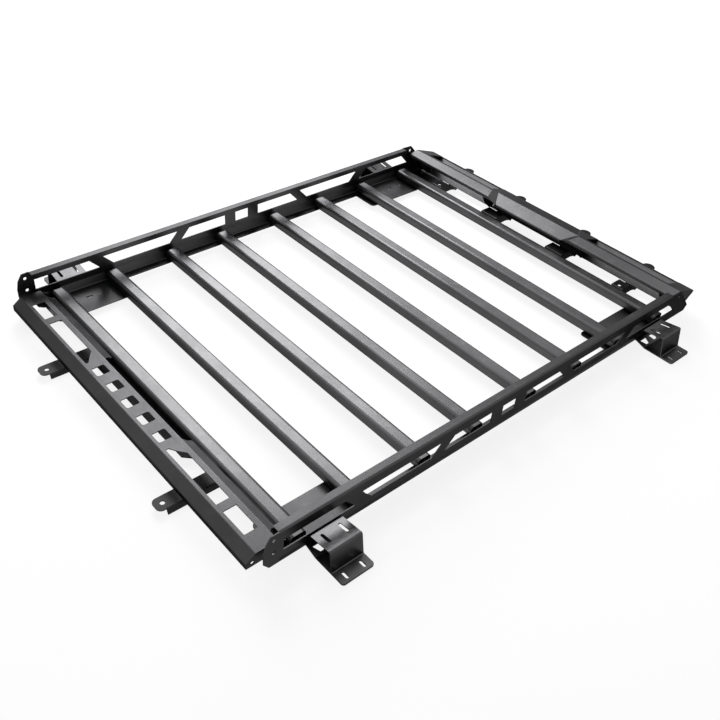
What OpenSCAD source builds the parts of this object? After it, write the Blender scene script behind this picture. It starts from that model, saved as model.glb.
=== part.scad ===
// Roof rack: two folded side panels, eight slats, a pierced rear rail, a wind deflector and four feet
// Millimetres, +Z up, +Y towards the vehicle's front, +X across; the origin is on the ground at mid rack

/* [Frame] */
// width over the outer faces of the two side panels
rack_w = 1250; // [1150:10:1400]
// thickness of the folded sheet
sheet_t = 3; // [2.5:0.5:3.5]
// radius on the inside of a fold
bend_r = 2.5; // [1.5:0.5:3]
// ground to the underside of the side panels
foot_drop = 29; // [26:1:36]

/* [Side panels] */
// height of a side panel
web_h = 101; // [98:1:112]
// width of the flange folded in along the top
top_flange = 24; // [18:1:30]
// width of the flange folded in along the bottom
low_flange = 39; // [30:1:46]
// drop of the bottom flange's underside under the ears
flange_drop = 15; // [12:1:16]
// height at which the web turns in
lean_from = 13; // [9:1:18]
// distance the web leans in at its foot
web_lean = 8; // [4:1:11]
// chamfer on the corners of the bottom flange
flange_chamfer = 13; // [6:1:18]
// middle of the rack to the rear end of the folds
panel_rear = 767; // [760:1:780]
// middle of the rack to the front end of the folds
panel_front = 770; // [765:1:780]
// lower edge of the openings in the web
open_low = 34; // [30:1:38]
// upper edge of the openings in the web
open_high = 69; // [62:1:74]
// half length of the middle opening
open_mid = 26.6; // [20:0.2:34]
// start of the second openings from the middle
open_second = 69; // [60:1:76]
// end of the second openings, at their lower edge
open_second_end = 245; // [236:1:252]
// start of the third openings, at their lower edge
open_third = 289; // [285:1:298]
// end of the third openings, at their lower edge
open_third_end = 495; // [480:1:500]
// start of the end openings, at their lower edge
open_fourth = 543; // [538:1:550]
// lean of the slanted ends of the openings
open_lean = 33; // [24:1:36]
// end of the rear opening
open_rear_end = 755; // [740:1:758]
// end of the front opening, at its lower edge
open_front_end = 799; // [790:1:806]
// reach of the rear ear behind the folds
rear_ear = 43; // [36:1:50]
// reach of the front ear ahead of the folds
front_ear = 122; // [110:1:130]
// diameter of the holes in the ears
ear_hole_d = 10.5; // [8:0.5:12]
// rear ear holes from the ear's rear edge
rear_hole_in = 29; // [20:1:32]
// height of the lower ear holes
ear_hole_low = 41; // [36:1:46]
// height of the upper ear holes
ear_hole_high = 82; // [76:1:86]
// front ear holes, the upper one from the middle of the rack
front_hole_high_y = 812; // [806:1:816]
// front ear holes, the lower one from the middle of the rack
front_hole_low_y = 850; // [840:1:856]

/* [Pads for the feet] */
// inner edge of the pads from the side panel's outer face
pad_w = 135; // [125:1:145]
// near end of the pads from the middle of the rack
pad_near = 505; // [495:1:510]
// far end of the pads from the middle of the rack
pad_far = 750; // [742:1:756]
// radius of the pads' corners
pad_r = 14; // [6:1:20]
// slots in the pads from the side panel's outer face
pad_slot_in = 66; // [60:1:76]
// distance between the two slots of a pad
pad_slot_pitch = 53; // [44:1:60]
// length of a pad slot
pad_slot_len = 23; // [16:1:28]
// width of a pad slot
pad_slot_w = 8.5; // [6.5:0.5:10]
// middle of the rear pads' slots behind the middle of the rack
rear_pad_slots = 645; // [640:0.5:650]
// middle of the front pads' slots ahead of the middle of the rack
front_pad_slots = 679.5; // [674:0.5:684]

/* [Slats] */
// depth of a slat from front to rear
slat_w = 44.5; // [40:0.5:48]
// height of a slat
slat_h = 34.5; // [30:0.5:38]
// wall of a slat
slat_t = 2; // [1.5:0.5:2.5]
// radius of a slat's rounded edges
slat_r = 10; // [6:0.5:12]
// gap between a slat's end and the side panel's outer face
slat_end = 21; // [14:1:24]
// slats from the middle of the rack, rear to front
slat_1 = -696.5; // [-700:0.5:-694]
// second slat
slat_2 = -510.5; // [-525:0.5:-500]
// third slat
slat_3 = -292.5; // [-305:0.5:-280]
// fourth slat
slat_4 = -96; // [-110:0.5:-80]
// fifth slat
slat_5 = 127; // [110:0.5:140]
// sixth slat
slat_6 = 336; // [320:0.5:350]
// seventh slat
slat_7 = 542.5; // [530:0.5:555]
// eighth slat
slat_8 = 755.5; // [753:0.5:757]

/* [Rear rail] */
// half length of the rear rail
rail_half = 600; // [590:1:604]
// rear edge of the rail behind the middle of the rack
rail_rear = 840; // [834:1:846]
// front edge of the rail's folded front, behind the middle of the rack
rail_front = 727; // [726:0.5:730]
// height of the rail's top face
rail_h = 40; // [36:1:46]
// height of the upright skirt above the ground side of the panels
skirt_h = 20; // [16:1:24]
// length of the slope behind the top face
slope_len = 27; // [22:1:32]
// length of the folded front
nose_len = 25; // [20:1:28]
// drop of the folded front
nose_drop = 16; // [12:1:18]
// rear edge of the holes in the top face
rail_hole_rear = 803; // [800:1:805]
// depth of the holes from front to rear
rail_hole_w = 37; // [30:1:40]
// length of a small hole
rail_hole_len = 38; // [30:1:44]
// distance between the small holes
rail_hole_pitch = 79; // [70:1:84]
// radius of the small holes' corners
rail_hole_r = 5; // [2:0.5:8]
// start of the long openings from the middle
rail_open_start = 207; // [203:1:215]
// end of the long openings from the middle
rail_open_end = 430; // [415:1:436]
// start of the end openings from the middle
rail_last_start = 457; // [450:1:465]
// end of the end openings from the middle
rail_last_end = 542; // [530:1:550]
// start of the folded front from the middle
rail_fold_start = 205; // [196:1:215]
// end of the folded front from the middle
rail_fold_end = 560; // [550:1:570]
// diameter of the hole in the rail's end plate
rail_end_hole_d = 10; // [6:0.5:12]
// that hole from the rail's rear edge
rail_end_hole_in = 18; // [15:1:24]
// height of that hole
rail_end_hole_z = 14; // [11:1:18]
// height of the skirt's lower edge
skirt_low = 3; // [0:0.5:5]
// half length of the plate under the rail's middle
under_half = 225; // [212:1:235]
// rear edge of that plate behind the middle of the rack
under_rear = 761; // [755:1:768]
// chamfer on that plate's rear corners
under_chamfer = 20; // [10:1:30]

/* [Rear arms] */
// rear arms from the middle
rear_arm_x = 308; // [295:1:320]
// width of an arm's plate
arm_w = 44; // [38:1:50]
// rear end of the arms behind the middle of the rack
rear_arm_tip = 899; // [892:1:905]
// depth of the folded side of a rear arm
rear_arm_side = 14; // [10:1:14]
// lean of the folded side
rear_arm_lean = 6.5; // [3:0.5:9]
// start of the folded side from the tab's end
rear_arm_side_in = 20; // [18:1:30]
// diameter of the hole in the tab
rear_arm_hole_d = 13; // [10:0.5:14]
// hole from the tab's end
rear_arm_hole_in = 22; // [16:1:26]
// radius of the tab's corners
rear_arm_r = 15; // [8:1:20]

/* [Deflector] */
// half length of the deflector
wing_half = 610; // [600:1:614]
// rear edge ahead of the middle of the rack
lip_y = 803; // [800:1:806]
// height of the rear edge's underside
lip_low = 63; // [60:1:66]
// height of the strip at its rear edge
strip_z = 73; // [71:1:76]
// ridge ahead of the middle of the rack
ridge_y = 840; // [834:1:846]
// height of the ridge
ridge_z = 81; // [78:1:84]
// nose ahead of the middle of the rack
nose_y = 943; // [936:1:950]
// height of the nose
nose_z = 45; // [42:1:48]
// lowest edge of the folded back panel ahead of the middle of the rack
keel_y = 873; // [868:1:878]
// drop of that edge under the side panels
keel_drop = 8; // [6:1:10]
// half length of the recess's floor
recess_half = 150; // [135:1:158]
// run of the sloping steps beside the recess
recess_run = 39; // [30:1:45]
// rear edge of the recess ahead of the middle of the rack
recess_y = 809; // [806:1:814]
// height of the recess's floor at its rear edge
recess_z = 54; // [52:1:58]
// front edge of the recess's floor
recess_ridge_y = 859; // [852:1:864]
// height of the recess's floor at its front edge
recess_ridge_z = 72; // [70:0.5:73]
// inner end of the light pockets from the middle
pocket_start = 222; // [218:1:230]
// outer end of the light pockets from the deflector's end
pocket_margin = 53; // [48:1:62]
// rear edge of the pocket windows
pocket_y = 855; // [850:1:862]
// gap between an end plate and the sheet it is welded to
plate_gap = 0.3; // [0.2:0.1:0.5]
// thickness of the end plates
plate_t = 3; // [2:0.5:4]
// side of the square cable hole
cable_hole = 9; // [6:1:12]
// diameter of the round holes in the outer end plates
end_hole_d = 9; // [6:0.5:11]
// front hole of an end plate ahead of the middle of the rack
end_hole_front = 886; // [882:1:890]
// height of the front hole
end_hole_front_z = 48; // [44:1:52]
// rear hole of an end plate ahead of the middle of the rack
end_hole_rear = 862; // [858:1:866]
// height of the rear hole
end_hole_rear_z = 62; // [58:1:64]

/* [Front arms] */
// front arms from the middle
front_arm_x = 426; // [415:1:435]
// front end of the arms ahead of the middle of the rack
front_arm_tip = 978; // [970:1:985]
// height of the half round tips
tip_z = 33; // [30:1:36]
// length of the flat tab ahead of the last slat
tab_len = 44; // [38:1:50]
// lowest point of the arms under the side panels
arm_keel = 15; // [14:1:18]
// diameter of the hole in the tab
tab_hole_d = 12; // [8:0.5:14]
// hole from the folded front of the slat
tab_hole_in = 14; // [13:1:20]
// diameter of the hole in the tips
tip_hole_d = 13; // [8:0.5:16]
// drop of the folded side at the slat
arm_side_drop = 30; // [24:1:32]
// middle brackets from the middle
mid_arm_x = 153; // [146:1:160]
// width of a middle bracket
mid_arm_w = 74; // [60:1:80]

/* [Feet] */
// width of a foot along the panel
foot_w = 96; // [84:1:104]
// middle of the rear feet behind the middle of the rack
rear_foot = 635; // [628:1:640]
// middle of the front feet ahead of the middle of the rack
front_foot = 680; // [674:1:684]
// height of a foot's top plate at the panel
foot_top_in = 28; // [26:1:30]
// height of a foot's top plate at its outer edge
foot_top_out = 40; // [36:1:44]
// outer edge of the top plate from the panel
foot_top_w = 75; // [68:1:82]
// outer face of the foot from the panel at its foot
foot_face_w = 85; // [80:1:90]
// outer edge of the lower flange from the panel
foot_reach = 125; // [118:1:132]
// foot of the inner leg from the panel
leg_out = 26; // [22:1:32]
// slots of a foot, distance between the two
foot_slot_pitch = 52; // [44:1:58]
// length of a slot in the top plate
top_slot_len = 34; // [26:1:38]
// middle of the slots in the top plate from the panel
top_slot_x = 33; // [28:1:38]
// length of a slot in the lower flange
low_slot_len = 22; // [16:1:24]
// middle of the slots in the lower flange from the panel
low_slot_x = 106; // [104:1:110]
// width of the feet's slots
foot_slot_w = 9; // [7:0.5:11]
// radius of the lower flange's corners
foot_r = 8; // [4:1:12]
// width of the strips at the ends of the leg
leg_strip = 10; // [8:1:16]
// width of the strut in the middle of the leg
leg_strut = 16; // [10:1:24]

/* [Hidden] */
$fn = 48;
// largest angle between two flats of a fold
fold_step = 18;
half_w = rack_w / 2;
half_t = sheet_t / 2;
// length that passes right through a sheet when something is cut
cut = 40;
// the rack's middle is moved so that the origin is half way between the arms' tips
middle_y = (rear_arm_tip - front_arm_tip) / 2;
slat_len_half = half_w - slat_end;
flange_top = sheet_t - flange_drop;
flange_mid = half_t - flange_drop;
pocket_end = wing_half - pocket_margin;
// front edge of the plates bolted under the first slat
under_front = slat_1 + slat_w / 4;
// lowest height at which an ear runs on into the web
join_low = lean_from + 4;
wing_line = [[lip_y, lip_low], [lip_y, strip_z], [ridge_y, ridge_z], [nose_y, nose_z], [keel_y, -keel_drop]];
recess_line = [[recess_y, recess_z - 8], [recess_y, recess_z], [recess_ridge_y, recess_ridge_z],
  [nose_y, nose_z], [keel_y, -keel_drop]];
// outline of a plate that stands inside the deflector's section
plate_line = concat(beside(wing_line, bend_r + half_t, -half_t - plate_gap),
  [[keel_y - 16, -1], [lip_y + 23, 29], [lip_y + 9, 52]]);
// direction of the folded back panel, and the same panel moved out by one sheet
back_dir = unit([nose_y - keel_y, nose_z + keel_drop]);
back_off = [back_dir[1], -back_dir[0]] * (sheet_t + 0.01);
back_slope = back_dir[0] / back_dir[1];
arm_front = [nose_y, nose_z] + back_off;
tip_fold = [arm_front[0] - (arm_front[1] - tip_z) * back_slope, tip_z];
keel_fold = [arm_front[0] - (arm_front[1] + arm_keel) * back_slope, -arm_keel];
slat_front = slat_8 + slat_w / 2;
slat_top = flange_top + slat_h;

function unit(v) = v / norm(v);
function turn(a, b, c) = acos(max(-1, min(1, unit(b - a) * unit(c - b))));
function setback(pts, i, r) = r * tan(turn(pts[i - 1], pts[i], pts[i + 1]) / 2);
function turned(v, w) = [v[0] * cos(w) - v[1] * sin(w), v[0] * sin(w) + v[1] * cos(w)];
function side(a, b, c) = (b[0] - a[0]) * (c[1] - b[1]) - (b[1] - a[1]) * (c[0] - b[0]) > 0 ? 1 : -1;

// points of one fold at a distance from its middle line, positive to the left of the run
function fold_arc(pts, i, r, off) = let(
  d = unit(pts[i] - pts[i - 1]),
  s = side(pts[i - 1], pts[i], pts[i + 1]),
  a = turn(pts[i - 1], pts[i], pts[i + 1]),
  n = [-d[1], d[0]],
  c = pts[i] - d * setback(pts, i, r) + n * s * r,
  steps = max(1, ceil(a / fold_step)))
  [for (k = [0:steps]) let(w = s * k * a / steps) c + turned(n, w) * (off - s * r)];

// a line set off from the middle line of a folded sheet, with the folds followed
function beside(pts, r, off) = let(n = len(pts), d = unit(pts[1] - pts[0]), e = unit(pts[n - 1] - pts[n - 2]))
  concat([pts[0] + [-d[1], d[0]] * off], [for (i = [1:n - 2]) each fold_arc(pts, i, r, off)],
    [pts[n - 1] + [-e[1], e[0]] * off]);

// a sheet folded along the points of its middle line, drawn flat; r is the radius on the inside of a fold
module fold(pts, t = sheet_t, r = bend_r) {
  right = beside(pts, r + t / 2, -t / 2);
  polygon(concat(beside(pts, r + t / 2, t / 2), [for (i = [len(right) - 1:-1:0]) right[i]]));
}

// draws a flat shape of Y and Z through the range of X
module along_x(x0, x1) {
  translate([x0, 0, 0]) rotate([90, 0, 90]) linear_extrude(x1 - x0) children();
}

// draws a flat shape of X and Z through the range of Y
module along_y(y0, y1) {
  translate([0, y1, 0]) rotate([90, 0, 0]) linear_extrude(y1 - y0) children();
}

// draws a flat shape of X and Y through the range of Z
module along_z(z0, z1) {
  translate([0, 0, z0]) linear_extrude(z1 - z0) children();
}

// a slot along the first axis, centred
module slot(l, w) {
  square([l - w, w], center = true);
  for (s = [-1, 1]) translate([s * (l - w) / 2, 0]) circle(d = w);
}

// a rectangle from corner to corner with round corners
module round_rect(x0, y0, x1, y1, r) {
  translate([x0 + r, y0]) square([x1 - x0 - 2 * r, y1 - y0]);
  translate([x0, y0 + r]) square([x1 - x0, y1 - y0 - 2 * r]);
  for (x = [x0 + r, x1 - r]) for (y = [y0 + r, y1 - r]) translate([x, y]) circle(r);
}

// moves a piece from the rack's middle to the shared origin
module place() {
  translate([0, middle_y, foot_drop]) children();
}

// an opening in the web with a leaning end, from the lower edge's ends and the lean at each end
module web_opening(y0, y1, lean0, lean1) {
  polygon([[y0, open_low], [y1, open_low], [y1 + lean1, open_high], [y0 + lean0, open_high]]);
}

module web_openings() {
  translate([-open_mid, open_low]) square([2 * open_mid, open_high - open_low]);
  for (m = [0, 1]) mirror([m, 0]) {
    web_opening(open_second, open_second_end, 0, -open_lean);
    web_opening(open_third, open_third_end, -open_lean, open_lean);
  }
  web_opening(open_fourth, open_front_end, open_lean, -open_lean);
  mirror([1, 0]) web_opening(open_fourth, open_rear_end, open_lean, 0);
}

module ear_outlines() {
  join = 20;
  join_high = web_h - 8;
  rear = -panel_rear - rear_ear;
  front = panel_front + front_ear;
  polygon([[-panel_rear, 0], [rear + 15, 0], [rear, 20], [rear, web_h / 2], [rear + 6, web_h * 0.77],
    [rear + 20, web_h - 1.5], [-panel_rear, web_h], [-panel_rear, join_high], [join - panel_rear, join_high],
    [join - panel_rear, join_low], [-panel_rear, join_low]]);
  polygon([[panel_front, 0], [front - 12, 0], [front, 18], [front - 75, web_h - 2], [panel_front, web_h],
    [panel_front, join_high], [panel_front - join, join_high], [panel_front - join, join_low],
    [panel_front, join_low]]);
}

// the bottom flange with the two wide pads, from the flat part of the fold inwards
module flange_outline() {
  fold_in = web_lean + 8;
  inner = half_w - low_flange;
  polygon([[half_w - fold_in, -panel_rear], [inner + flange_chamfer, -panel_rear],
    [inner, flange_chamfer - panel_rear], [inner, panel_front - flange_chamfer],
    [inner + flange_chamfer, panel_front], [half_w - fold_in, panel_front]]);
  for (y = [-pad_far, pad_near])
    round_rect(half_w - pad_w, y, half_w - fold_in - 1, y + pad_far - pad_near, pad_r);
  for (y = [-pad_far, pad_near]) translate([half_w - pad_r - fold_in - 1, y])
    square([pad_r, pad_far - pad_near]);
}

// one side panel, drawn at +X
module side_panel() {
  color([0.08, 0.08, 0.085]) place() difference() {
    union() {
      along_y(-panel_rear, panel_front) fold([[half_w - top_flange, web_h - half_t],
        [half_w - half_t, web_h - half_t], [half_w - half_t, lean_from],
        [half_w - web_lean - half_t, flange_mid], [half_w - web_lean - 12, flange_mid]]);
      along_x(half_w - sheet_t, half_w) ear_outlines();
      along_z(-flange_drop, flange_top) flange_outline();
    }
    along_x(half_w - sheet_t - 1, half_w + 1) {
      web_openings();
      for (z = [ear_hole_low, ear_hole_high])
        translate([rear_hole_in - panel_rear - rear_ear, z]) circle(d = ear_hole_d);
      translate([front_hole_high_y, ear_hole_high]) circle(d = ear_hole_d);
      translate([front_hole_low_y, ear_hole_low]) circle(d = ear_hole_d);
    }
    along_z(-flange_drop - 1, flange_top + 1) pad_slots();
  }
}

module pad_slots() {
  for (m = [-rear_pad_slots, front_pad_slots]) for (s = [-1, 1])
    translate([half_w - pad_slot_in, m + s * pad_slot_pitch / 2]) rotate(90) slot(pad_slot_len, pad_slot_w);
}

// one cross slat, a tube with well rounded edges that lies on the bottom flanges
module slat(y) {
  color([0.1, 0.1, 0.105]) place() translate([0, y, 0]) along_x(-slat_len_half, slat_len_half) difference() {
    round_rect(-slat_w / 2, flange_top, slat_w / 2, slat_top, slat_r);
    round_rect(slat_t - slat_w / 2, flange_top + slat_t, slat_w / 2 - slat_t, slat_top - slat_t,
      slat_r - slat_t);
  }
}

rail_line = [[-rail_rear + half_t, skirt_low], [-rail_rear + half_t, skirt_h],
  [slope_len - rail_rear, rail_h - half_t], [-rail_front - nose_len, rail_h - half_t],
  [-rail_front, rail_h - nose_drop]];

// the pierced rail across the rear end
module rear_rail() {
  color([0.09, 0.09, 0.095]) place() difference() {
    along_x(-rail_half, rail_half) fold(rail_line);
    along_z(rail_h - cut / 4, rail_h + 1) rail_holes();
    along_z(0, rail_h + 1) {
      notch_y = -rail_front - nose_len + 1;
      polygon([[-rail_fold_start, notch_y + cut], [-rail_fold_start, notch_y + 10],
        [10 - rail_fold_start, notch_y], [rail_fold_start - 10, notch_y],
        [rail_fold_start, notch_y + 10], [rail_fold_start, notch_y + cut]]);
      for (m = [0, 1]) mirror([m, 0]) polygon([[rail_fold_end, notch_y + cut], [rail_fold_end, notch_y + 10],
        [rail_fold_end + 10, notch_y], [rail_half + 1, notch_y], [rail_half + 1, notch_y + cut]]);
    }
  }
}

module rail_holes() {
  low = -rail_hole_rear;
  high = low + rail_hole_w;
  for (i = [-2:2])
    translate([i * rail_hole_pitch, 0])
      round_rect(-rail_hole_len / 2, low, rail_hole_len / 2, high, rail_hole_r);
  for (m = [0, 1]) mirror([m, 0]) {
    polygon([[rail_open_start, low], [rail_open_end, low], [rail_open_end, high], [rail_open_start + 40, high],
      [rail_open_start + 22, low + 22], [rail_open_start, low + 8]]);
    round_rect(rail_last_start, low, rail_last_end, high, 2);
  }
}

// the flat plate under the rail's middle, bolted under the first slat
module rail_plate() {
  color([0.06, 0.06, 0.065]) place() along_z(-flange_drop, flange_top) polygon([[-under_half, under_front],
    [-under_half, under_chamfer - under_rear], [under_chamfer - under_half, -under_rear],
    [under_half - under_chamfer, -under_rear], [under_half, under_chamfer - under_rear],
    [under_half, under_front]]);
}

// the plate that closes the rail's end, drawn at +X, standing on the side panel's bottom flange
module rail_end() {
  foot_rear = flange_chamfer - panel_rear;
  color([0.07, 0.07, 0.075]) place() difference() {
    along_x(rail_half - plate_t, rail_half)
      polygon(concat(beside(rail_line, bend_r + half_t, -half_t - plate_gap),
        [[-rail_front - 1, flange_top], [foot_rear, flange_top], [foot_rear, skirt_low]]));
    along_x(rail_half - plate_t - 1, rail_half + 1) translate([rail_end_hole_in - rail_rear, rail_end_hole_z])
      circle(d = rail_end_hole_d);
  }
}

// one rear arm: a flat tab under the first slat with one side folded down
module rear_arm(x) {
  tip = -rear_arm_tip;
  side_from = tip + rear_arm_side_in;
  color([0.09, 0.09, 0.095]) place() translate([x, 0, 0]) difference() {
    union() {
      along_z(-flange_drop, flange_top) {
        translate([-arm_w / 2, tip + rear_arm_r]) square([arm_w, rear_arm_side_in - rear_arm_r]);
        translate([rear_arm_r - arm_w / 2, tip]) square([arm_w - 2 * rear_arm_r, rear_arm_side_in]);
        for (s = [-1, 1]) translate([s * (arm_w / 2 - rear_arm_r), tip + rear_arm_r]) circle(rear_arm_r);
        translate([-arm_w / 2, side_from - 1]) square([arm_w * 0.7, under_front - side_from + 1]);
      }
      along_y(side_from, slat_1 - slat_w / 2 - 1) fold([[0, flange_mid], [arm_w / 2, flange_mid],
        [arm_w / 2 + rear_arm_lean, flange_mid - rear_arm_side]]);
    }
    along_z(-cut, cut) translate([0, tip + rear_arm_hole_in]) circle(d = rear_arm_hole_d);
  }
}

// half width of the recess at a height, following the sloping steps
module recess_space(inset) {
  step = strip_z + half_t - recess_z;
  top = 30;
  polygon([[-recess_half + inset, -cut], [recess_half - inset, -cut], [recess_half - inset, recess_z],
    [recess_half - inset + recess_run * top / step, recess_z + top],
    [inset - recess_half - recess_run * top / step, recess_z + top], [inset - recess_half, recess_z]]);
}

// the folded deflector with its middle sunk between two sloping steps and a window over each light pocket
module deflector() {
  color([0.09, 0.09, 0.095]) place() difference() {
    union() {
      difference() {
        along_x(-wing_half, wing_half) fold(wing_line);
        along_y(lip_y - cut, nose_y + cut) recess_space(0);
      }
      intersection() {
        along_x(-wing_half, wing_half) fold(recess_line);
        along_y(lip_y - cut, nose_y + cut) recess_space(0);
      }
      recess_steps();
    }
    for (m = [0, 1]) mirror([m, 0, 0]) along_x(pocket_start, pocket_end)
      translate([pocket_y, nose_z + 1]) square([nose_y - pocket_y + cut, cut]);
  }
}

// the sloping steps between the recess and the wings
module recess_steps() {
  wall = 6.6;
  intersection() {
    along_y(lip_y - cut, nose_y + cut) difference() {
      recess_space(-wall);
      recess_space(0);
    }
    along_x(-wing_half, wing_half) difference() {
      polygon(beside(wing_line, bend_r + half_t, half_t));
      polygon(beside(recess_line, bend_r + half_t, -half_t));
      translate([lip_y - cut, -cut]) square([cut * 5, recess_z + cut - 10]);
    }
  }
}

// a plate that fills the deflector's section
module section_plate(x) {
  along_x(x - plate_t / 2, x + plate_t / 2) difference() {
    polygon(plate_line);
    translate([keel_y + 9, 2]) square(cable_hole, center = true);
  }
}

// the outer end plate, drawn at +X
module deflector_end() {
  color([0.08, 0.08, 0.085]) place() difference() {
    section_plate(wing_half - plate_t / 2);
    along_x(wing_half - plate_t - 1, wing_half + 1) {
      translate([end_hole_front, end_hole_front_z]) circle(d = end_hole_d);
      translate([end_hole_rear, end_hole_rear_z]) circle(d = end_hole_d);
    }
  }
}

// the two plates at the ends of a light pocket, drawn at +X
module pocket_plates() {
  color([0.07, 0.07, 0.075]) place() {
    section_plate(pocket_start - plate_t);
    section_plate(pocket_end + plate_t);
  }
}

// one front arm: bolted to the last slat, dipping under the deflector and ending in a half round tip
module front_arm(x, w, half_round) {
  face = slat_front + half_t;
  tab = slat_top - half_t;
  tip_end = front_arm_tip - half_round;
  color([0.09, 0.09, 0.095]) place() translate([x, 0, 0]) difference() {
    union() {
      along_x(-w / 2, w / 2)
        fold([[face, flange_top + slat_r], [face, tab], [face + tab_len, tab], keel_fold, tip_fold,
          [tip_end, tip_z]]);
      along_z(tip_z - half_t, tip_z + half_t) translate([0, tip_end]) intersection() {
        circle(half_round);
        translate([-half_round, -1]) square([2 * half_round, half_round + 2]);
      }
      along_x(w / 2 - sheet_t, w / 2) polygon([[face + bend_r + 1, tab], [face + tab_len - bend_r, tab],
        keel_fold + [-4, 4], keel_fold + [-30, 10], [face + bend_r + 1, slat_top - arm_side_drop]]);
    }
    along_z(tip_z - cut / 2, tip_z + cut / 2) translate([0, tip_end]) circle(d = tip_hole_d);
    if (w == arm_w)
      along_z(tab - cut / 4, tab + cut / 4) translate([0, face + tab_hole_in]) circle(d = tab_hole_d);
  }
}

foot_low = -foot_drop + sheet_t + half_t;

// moves a foot's piece, drawn at the panel's outer face, to its place at +X
module at_foot(y) {
  place() translate([half_w, y, 0]) children();
}

module foot_slots(x, l) {
  for (s = [-1, 1]) translate([x, s * foot_slot_pitch / 2]) slot(l, foot_slot_w);
}

// the upper bracket of a foot, from the panel's outer face over and down to the lower flange
module foot_bracket(y) {
  color([0.08, 0.08, 0.085]) at_foot(y) difference() {
    union() {
      along_y(-foot_w / 2, foot_w / 2) fold([[half_t, lean_from], [half_t, foot_top_in],
        [foot_top_w - half_t, foot_top_out - half_t], [foot_face_w - half_t, foot_low],
        [foot_reach - foot_r, foot_low]]);
      along_z(foot_low - half_t, foot_low + half_t)
        round_rect(foot_face_w + 8, -foot_w / 2, foot_reach, foot_w / 2, foot_r);
    }
    along_z(foot_top_in - 2, foot_top_out + 8) foot_slots(top_slot_x, top_slot_len);
    along_z(foot_low - cut, foot_low + 10) foot_slots(low_slot_x, low_slot_len);
  }
}

// the base of a foot: a flange under the pad, a pierced leg down to the plate under the bracket's lower flange
module foot_base(y, slots_y) {
  mid = foot_low - sheet_t;
  under = flange_mid - sheet_t;
  pad_half = pad_slot_pitch / 2 + pad_slot_len / 2 + 14;
  fold_from = -web_lean - 6;
  color([0.075, 0.075, 0.08]) difference() {
    union() {
      at_foot(y) {
        along_y(-foot_w / 2, foot_w / 2) fold([[-low_flange, under], [-web_lean, under], [leg_out, mid],
          [foot_reach - foot_r, mid]]);
        along_z(mid - half_t, mid + half_t)
          round_rect(foot_face_w, -foot_w / 2, foot_reach, foot_w / 2, foot_r);
      }
      at_foot(slots_y) along_z(under - half_t, under + half_t)
        round_rect(-pad_w + 20, -pad_half, fold_from, pad_half, pad_r / 2);
    }
    at_foot(y) along_z(-cut, mid + cut / 4) for (s = [-1, 1]) leg_window(s);
    at_foot(y) along_z(mid - cut / 2, mid + cut / 4) foot_slots(low_slot_x, low_slot_len);
    place() along_z(under - half_t - 1, under + half_t + 1) pad_slots();
  }
}

// a window in the leg, narrower at its foot
module leg_window(s) {
  outer = foot_w / 2 - leg_strip;
  top = 1;
  foot = leg_out - 6;
  polygon([[top, s * outer], [top, s * leg_strut / 2], [foot, s * (leg_strut / 2 + 6)],
    [foot, s * (outer - 10)]]);
}

module left() {
  mirror([1, 0, 0]) children();
}

left() side_panel();  // side_panel_left
side_panel();  // side_panel_right
slat(slat_1);
slat(slat_2);
slat(slat_3);
slat(slat_4);
slat(slat_5);
slat(slat_6);
slat(slat_7);
slat(slat_8);
rear_rail();
rail_plate();
left() rail_end();  // rail_end_left
rail_end();  // rail_end_right
rear_arm(-rear_arm_x);  // rear_arm_left
rear_arm(rear_arm_x);  // rear_arm_right
deflector();
left() deflector_end();  // deflector_end_left
deflector_end();  // deflector_end_right
left() pocket_plates();  // pocket_plates_left
pocket_plates();  // pocket_plates_right
front_arm(-front_arm_x, arm_w, arm_w / 2);  // front_arm_left
front_arm(front_arm_x, arm_w, arm_w / 2);  // front_arm_right
front_arm(-mid_arm_x, mid_arm_w, arm_w / 2);  // middle_arm_left
front_arm(mid_arm_x, mid_arm_w, arm_w / 2);  // middle_arm_right
left() foot_bracket(-rear_foot);  // foot_bracket_rear_left
foot_bracket(-rear_foot);  // foot_bracket_rear_right
left() foot_bracket(front_foot);  // foot_bracket_front_left
foot_bracket(front_foot);  // foot_bracket_front_right
left() foot_base(-rear_foot, -rear_pad_slots);  // foot_base_rear_left
foot_base(-rear_foot, -rear_pad_slots);  // foot_base_rear_right
left() foot_base(front_foot, front_pad_slots);  // foot_base_front_left
foot_base(front_foot, front_pad_slots);  // foot_base_front_right
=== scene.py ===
"""Looks of the roof rack: satin black powder coat on every piece, with painted light and shade in its tone
from piece to piece and a painted sheen on faces that look up, a white floor and three soft lamps.
"""

import math

import bmesh
import bpy
from mathutils import Matrix, Vector


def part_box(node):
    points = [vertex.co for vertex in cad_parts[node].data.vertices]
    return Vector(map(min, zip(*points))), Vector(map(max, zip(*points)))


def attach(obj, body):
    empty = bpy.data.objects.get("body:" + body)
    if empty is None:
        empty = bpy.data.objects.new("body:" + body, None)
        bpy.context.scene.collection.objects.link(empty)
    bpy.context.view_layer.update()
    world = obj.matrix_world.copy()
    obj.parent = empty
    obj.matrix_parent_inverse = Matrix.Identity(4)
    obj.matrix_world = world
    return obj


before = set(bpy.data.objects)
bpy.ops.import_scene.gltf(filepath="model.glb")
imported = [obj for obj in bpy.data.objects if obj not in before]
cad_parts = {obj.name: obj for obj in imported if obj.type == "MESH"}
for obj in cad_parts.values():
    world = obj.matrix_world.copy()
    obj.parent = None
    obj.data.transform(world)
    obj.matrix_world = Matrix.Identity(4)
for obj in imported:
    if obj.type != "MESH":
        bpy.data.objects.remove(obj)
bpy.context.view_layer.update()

# the camera's place in metres, its angles in degrees and its lens in millimetres
LENS_MM = 42.63
SENSOR_MM = 36.0
CAMERA_AT = Vector((1.5805, -1.5322, 1.5916))
CAMERA_AZIMUTH = -46.0
CAMERA_ELEVATION = -38.97
CAMERA_ROLL = 4.90
CAMERA_SEES_TO = 200.0
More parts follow.
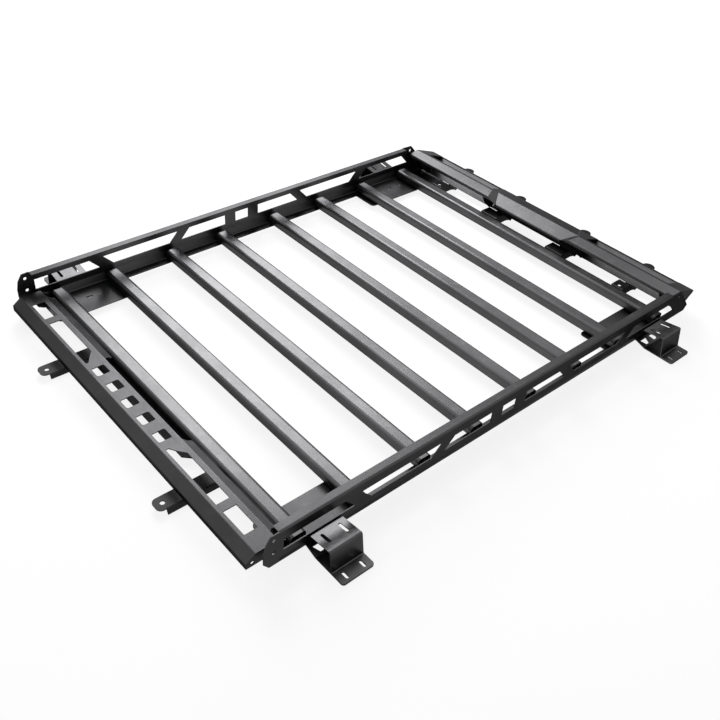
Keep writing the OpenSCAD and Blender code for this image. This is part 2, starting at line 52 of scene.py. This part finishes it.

# tone, roughness and seed of each coat; the tones are painted light and shade on one satin black: the
# plate's and the arms' are darker as painted shade under the rail, the slats' and the deflector's paler as
# painted highlight
COAT_VALUES_WITH_PAINTED_LIGHT = {
    "panel": (0.056, 0.34, 1.0),
    "slat": (0.082, 0.34, 2.0),
    "rail": (0.052, 0.36, 3.0),
    "deflector": (0.072, 0.36, 4.0),
    "arm": (0.03, 0.42, 5.0),
    "plate": (0.012, 0.55, 7.0),
    "foot": (0.062, 0.3, 6.0),
}
# how far a seed of 1 moves the noise, so that no two coats look alike
SEED_STEP = (0.37, 0.91, 0.53)
# the blue in a grey, as a share of its red
BLUER = 1.03
# the cloudy tone runs between two shares of the coat's own, at two values of the noise
DARK_SHARE = 0.8
PALE_SHARE = 1.25
DARK_AT = 0.3
PALE_AT = 0.72
# dust, which is also a painted sheen, on faces that look up: its share of the coat's tone, its greatest
# cover, and the noise where it starts and is fullest
DUST_AND_SHEEN_SHARE = 2.6
DUST_AND_SHEEN_COVER = 0.22
DUST_AND_SHEEN_FROM = 0.56
DUST_AND_SHEEN_TO = 0.78
# patches: what they take from the roughness and add to it, at two values of the noise
SMOOTHER = 0.04
ROUGHER = 0.07
SMOOTH_AT = 0.3
ROUGH_AT = 0.75
# the metal's tint at grazing angles
GRAZING_TINT = 0.3
# the grain's height in metres, its strength, and the specks' share in it
GRAIN_HEIGHT = 0.0004
GRAIN_STRENGTH = 0.16
SPECK_SHARE = 0.35

# points of a node this close are joined, and edges sharper than the angle get a small round
WELD_GAP = 0.00001
EDGE_ROUND = 0.0004
EDGE_SEGMENTS = 2
EDGE_ANGLE = 40.0

# the rail plate's left end: its length, and the cut of its corner, which is also the plate's own
TAB_REACH = 0.037
TAB_CHAMFER = 0.02

# the left front corner's sheet: how far in from the side panel's outer face it starts, its width,
# how far it runs ahead of slat 8 and under that slat's round lower edge, and the cut of its corner
CORNER_INSET = 0.0031
CORNER_WIDTH = 0.132
CORNER_REACH = 0.116
CORNER_SEAT = 0.0075
CORNER_CHAMFER = 0.012
# the sheet's upright side: its thickness, which is also its gap to slat 8, and its height
CORNER_THICK = 0.003
CORNER_SIDE = 0.032

# the floor's width, its drop below the feet, its grey and its roughness
FLOOR_WIDTH = 60.0
FLOOR_DROP = 0.0005
FLOOR_GREY = 0.2
FLOOR_ROUGHNESS = 0.9
# the floor's glow as a backdrop, and the distances over which it turns fully white for the camera
FLOOR_GLOW = 0.86
FAR_FROM = 2.6
FAR_TO = 6.0
# the light that the sky sheds on the object; as a backdrop it is white
SKY_LIGHT = 0.12


def node(tree, kind, inputs=None, **settings):
    """A new node with the given settings, and values for some of its inputs."""
    made = tree.nodes.new(kind)
    for name, value in settings.items():
        setattr(made, name, value)
    for name, value in (inputs or {}).items():
        made.inputs[name].default_value = value
    return made


def calculated(tree, operation, first, second, clamp=False):
    """What a Math node makes of two inputs, each a socket or a number."""
    made = node(tree, "ShaderNodeMath", operation=operation, use_clamp=clamp)
    for socket, value in zip(made.inputs, (first, second)):
        if isinstance(value, bpy.types.NodeSocket):
            tree.links.new(value, socket)
        else:
            socket.default_value = value
    return made.outputs["Value"]


def mapped(tree, source, start, end, low, high):
    """The source, with its range from start to end stretched to run from low to high."""
    limits = {"From Min": start, "From Max": end, "To Min": low, "To Max": high}
    made = node(tree, "ShaderNodeMapRange", limits)
    tree.links.new(source, made.inputs["Value"])
    return made.outputs["Result"]


def noise(tree, place, scale, detail, roughness):
    """The value of a noise texture at the given place."""
    made = node(tree, "ShaderNodeTexNoise", {"Scale": scale, "Detail": detail, "Roughness": roughness})
    tree.links.new(place, made.inputs["Vector"])
    return made.outputs["Fac"]


def ramp(tree, source, stops):
    """A colour that changes with the source between two stops, each a value and its colour."""
    made = node(tree, "ShaderNodeValToRGB")
    for element, (position, colour) in zip(made.color_ramp.elements, stops):
        element.position = position
        element.color = (*colour, 1.0)
    tree.links.new(source, made.inputs["Fac"])
    return made.outputs["Color"]


def grey(value):
    """A slightly blue grey."""
    return (value, value, value * BLUER)


def coat_colour(tree, cloud, patches, tone):
    """A cloudy tone, with a little paler dust in patches on faces that look up, which is also a painted
    sheen that lightens the tops.
    """
    cloudy = ramp(tree, cloud, [(DARK_AT, grey(tone * DARK_SHARE)), (PALE_AT, grey(tone * PALE_SHARE))])
    dust_and_sheen_mask = ramp(tree, patches, [(DUST_AND_SHEEN_FROM, grey(0.0)), (DUST_AND_SHEEN_TO, grey(1.0))])
    surface = node(tree, "ShaderNodeNewGeometry")
    upward = node(tree, "ShaderNodeSeparateXYZ")
    tree.links.new(surface.outputs["Normal"], upward.inputs["Vector"])
    # paler dust and painted sheen, only on faces that look up
    dust_and_sheen_on_top = calculated(tree, "MULTIPLY", upward.outputs["Z"], dust_and_sheen_mask, clamp=True)
    dust_and_sheen = tone * DUST_AND_SHEEN_SHARE
    mixed = node(tree, "ShaderNodeMix", data_type="RGBA")
    tree.links.new(calculated(tree, "MULTIPLY", dust_and_sheen_on_top, DUST_AND_SHEEN_COVER), mixed.inputs["Factor"])
    tree.links.new(cloudy, mixed.inputs["A"])
    mixed.inputs["B"].default_value = (dust_and_sheen, dust_and_sheen, dust_and_sheen, 1.0)
    return mixed.outputs["Result"]


def coat_grain(tree, place):
    """The bump of a fine orange peel with small specks in it."""
    peel = noise(tree, place, scale=900.0, detail=3.0, roughness=0.55)
    speck = node(tree, "ShaderNodeTexVoronoi", {"Scale": 420.0})
    tree.links.new(place, speck.inputs["Vector"])
    specks = calculated(tree, "MULTIPLY", speck.outputs["Distance"], SPECK_SHARE)
    bump = node(tree, "ShaderNodeBump", {"Strength": GRAIN_STRENGTH, "Distance": GRAIN_HEIGHT})
    tree.links.new(calculated(tree, "ADD", peel, specks), bump.inputs["Height"])
    return bump.outputs["Normal"]


def powder_coat_with_painted_light(name, tone, roughness, seed):
    """Satin black powder coat: cloudy tone, patches of another roughness, a fine grain, and some dust that
    is also a painted sheen on faces that look up.
    """
    material = bpy.data.materials.new(name)
    material.use_nodes = True
    tree = material.node_tree
    link = tree.links.new
    shader = tree.nodes["Principled BSDF"]
    shader.inputs["Metallic"].default_value = 1.0
    shader.inputs["Specular Tint"].default_value = (GRAZING_TINT, GRAZING_TINT, GRAZING_TINT, 1.0)
    coordinates = node(tree, "ShaderNodeTexCoord")
    shifted = node(tree, "ShaderNodeMapping", {"Location": [seed * step for step in SEED_STEP]})
    link(coordinates.outputs["Object"], shifted.inputs["Vector"])
    place = shifted.outputs["Vector"]
    cloud = noise(tree, place, scale=3.2, detail=5.0, roughness=0.6)
    patches = noise(tree, place, scale=22.0, detail=6.0, roughness=0.7)
    rough = mapped(tree, patches, SMOOTH_AT, ROUGH_AT, roughness - SMOOTHER, roughness + ROUGHER)
    link(coat_colour(tree, cloud, patches, tone), shader.inputs["Base Color"])
    link(rough, shader.inputs["Roughness"])
    link(coat_grain(tree, place), shader.inputs["Normal"])
    return material


COATS = {name: powder_coat_with_painted_light(f"{name}_powder_coat_with_painted_light", *values) for name, values in COAT_VALUES_WITH_PAINTED_LIGHT.items()}


def coat_of(name):
    """The coat of a CAD node, by the first of these words in its name, or else the deflector's."""
    for word in ("arm", "foot", "slat", "panel", "plate", "rail"):
        if word in name:
            return COATS[word]
    return COATS["deflector"]


def round_edges(piece):
    """Join the mesh's doubled points, then round its edges a little."""
    weld = piece.modifiers.new("weld", "WELD")
    weld.merge_threshold = WELD_GAP
    edge = piece.modifiers.new("edge", "BEVEL")
    edge.width = EDGE_ROUND
    edge.segments = EDGE_SEGMENTS
    edge.limit_method = "ANGLE"
    edge.angle_limit = math.radians(EDGE_ANGLE)
    edge.use_clamp_overlap = True
    edge.harden_normals = True


for name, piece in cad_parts.items():
    piece.data.materials.clear()
    piece.data.materials.append(coat_of(name))
    round_edges(piece)


def sheet(name, outline, low, high, material):
    """A flat piece of metal with the given outline between two heights."""
    mesh = bpy.data.meshes.new(name)
    shape = bmesh.new()
    face = shape.faces.new([shape.verts.new((x, y, low)) for x, y in outline])
    raised = bmesh.ops.extrude_face_region(shape, geom=[face])["geom"]
    corners = [item for item in raised if isinstance(item, bmesh.types.BMVert)]
    bmesh.ops.translate(shape, verts=corners, vec=(0.0, 0.0, high - low))
    bmesh.ops.recalc_face_normals(shape, faces=shape.faces)
    shape.to_mesh(mesh)
    shape.free()
    mesh.materials.append(material)
    made = bpy.data.objects.new(name, mesh)
    bpy.context.collection.objects.link(made)
    return made


# the left end of the rail plate
plate_low, plate_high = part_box("rail_plate")
plate_end = plate_low[0]
plate_rear = plate_low[1]
plate_front = plate_high[1]
sheet_bottom = plate_low[2]
sheet_top = plate_high[2]
tab_end = plate_end - TAB_REACH
tab_outline = [
    (plate_end, plate_front),
    (tab_end, plate_front),
    (tab_end, plate_rear + TAB_CHAMFER),
    (tab_end + TAB_CHAMFER, plate_rear),
    (plate_end + TAB_CHAMFER, plate_rear),
    (plate_end, plate_rear + TAB_CHAMFER),
]
# the tab takes the plate's coat, darkened as painted shade
rail_plate_tab = sheet("rail_plate_tab", tab_outline, sheet_bottom, sheet_top, COATS["plate"])
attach(rail_plate_tab, "root")

# the sheet in the left front corner, level with the pads; the right corner is open
panel_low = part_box("side_panel_left")[0]
slat_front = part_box("slat_8")[1][1]
corner_outer = panel_low[0] + CORNER_INSET
corner_inner = corner_outer + CORNER_WIDTH
corner_rear = slat_front - CORNER_SEAT
corner_front = slat_front + CORNER_REACH
corner_outline = [
    (corner_outer, corner_rear),
    (corner_inner, corner_rear),
    (corner_inner, corner_front - CORNER_CHAMFER),
    (corner_inner - CORNER_CHAMFER, corner_front),
    (corner_outer, corner_front),
]
corner_sheet = sheet("corner_sheet_left", corner_outline, sheet_bottom, sheet_top, COATS["panel"])
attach(corner_sheet, "root")

# its upright side along the ear
side_outline = [
    (corner_outer, slat_front + CORNER_THICK),
    (corner_outer + CORNER_THICK, slat_front + CORNER_THICK),
    (corner_outer + CORNER_THICK, corner_front),
    (corner_outer, corner_front),
]
corner_side = sheet("corner_side_left", side_outline, sheet_top, sheet_top + CORNER_SIDE, COATS["panel"])
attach(corner_side, "root")


def as_backdrop(tree, rays):
    """1 for the rays that show a surface as the backdrop, and 0 for those that gather its light."""
    seen = calculated(tree, "ADD", rays["Is Camera Ray"], rays["Is Glossy Ray"], clamp=True)
    return calculated(tree, "ADD", seen, rays["Is Transmission Ray"], clamp=True)


def floor_paint():
    """Grey paint that takes the shadow, with a glow that makes it a pale backdrop."""
    material = bpy.data.materials.new("white_floor")
    material.use_nodes = True
    tree = material.node_tree
    shader = tree.nodes["Principled BSDF"]
    shader.inputs["Base Color"].default_value = (FLOOR_GREY, FLOOR_GREY, FLOOR_GREY, 1.0)
    shader.inputs["Roughness"].default_value = FLOOR_ROUGHNESS
    shader.inputs["Specular IOR Level"].default_value = 0.0
    shader.inputs["Emission Color"].default_value = (1.0, 1.0, 1.0, 1.0)
    rays = node(tree, "ShaderNodeLightPath").outputs
    glow = calculated(tree, "MULTIPLY", as_backdrop(tree, rays), FLOOR_GLOW)
    # away from the rack the floor is fully white, for the camera alone
    ground = node(tree, "ShaderNodeNewGeometry")
    distance = node(tree, "ShaderNodeVectorMath", operation="LENGTH")
    tree.links.new(ground.outputs["Position"], distance.inputs[0])
    whiter = mapped(tree, distance.outputs["Value"], FAR_FROM, FAR_TO, 0.0, 1.0 - FLOOR_GLOW)
    far_white = calculated(tree, "MULTIPLY", whiter, rays["Is Camera Ray"])
    tree.links.new(calculated(tree, "ADD", glow, far_white), shader.inputs["Emission Strength"])
    return material


bpy.ops.mesh.primitive_plane_add(size=FLOOR_WIDTH, location=(0.0, 0.0, -FLOOR_DROP))
floor = bpy.context.object
floor.name = "floor"
floor.data.materials.append(floor_paint())

# the sky
world = bpy.data.worlds.new("studio")
bpy.context.scene.world = world
world.use_nodes = True
sky = world.node_tree
background = sky.nodes["Background"]
background.inputs["Color"].default_value = (1.0, 1.0, 1.0, 1.0)
sky_seen = as_backdrop(sky, node(sky, "ShaderNodeLightPath").outputs)
sky.links.new(mapped(sky, sky_seen, 0.0, 1.0, SKY_LIGHT, 1.0), background.inputs["Strength"])


def soft_light(name, at, aim, width, height, level):
    """A rectangular lamp. The level sets how bright its face is, whatever its size."""
    lamp = bpy.data.lights.new(name, "AREA")
    lamp.shape = "RECTANGLE"
    lamp.size = width
    lamp.size_y = height
    lamp.energy = level * math.pi * width * height
    holder = bpy.data.objects.new(name, lamp)
    bpy.context.collection.objects.link(holder)
    holder.location = at
    holder.rotation_euler = (Vector(aim) - Vector(at)).to_track_quat("-Z", "Y").to_euler()


soft_light("left_softbox", at=(-2.95, 1.35, 2.4), aim=(0.0, 0.0, 0.05), width=2.3, height=2.5, level=9.6)
soft_light("overhead_scrim", at=(-0.9, 0.9, 3.4), aim=(0.0, 0.9, 0.05), width=5.4, height=3.0, level=0.85)
soft_light("front_strip", at=(-3.1, 3.9, 1.4), aim=(-0.4, 0.7, 0.1), width=2.4, height=1.9, level=5.5)


def camera_turn(azimuth, elevation, roll):
    """The camera's rotation: its columns are the directions to its right, up and backward."""
    forward = Vector((
        math.sin(azimuth) * math.cos(elevation),
        math.cos(azimuth) * math.cos(elevation),
        math.sin(elevation),
    ))
    right = Vector((math.cos(azimuth), -math.sin(azimuth), 0.0))
    up = right.cross(forward)
    right_rolled = right * math.cos(roll) + up * math.sin(roll)
    up_rolled = up * math.cos(roll) - right * math.sin(roll)
    columns = (right_rolled, up_rolled, -forward)
    return Matrix([[column[row] for column in columns] for row in range(3)])


camera = bpy.data.objects.new("camera", bpy.data.cameras.new("camera"))
camera.data.lens = LENS_MM
camera.data.sensor_width = SENSOR_MM
camera.data.clip_end = CAMERA_SEES_TO
turn = camera_turn(math.radians(CAMERA_AZIMUTH), math.radians(CAMERA_ELEVATION), math.radians(CAMERA_ROLL))
camera.matrix_world = Matrix.Translation(CAMERA_AT) @ turn.to_4x4()
bpy.context.collection.objects.link(camera)
bpy.context.scene.camera = camera
bpy.context.scene.view_settings.view_transform = "Standard"
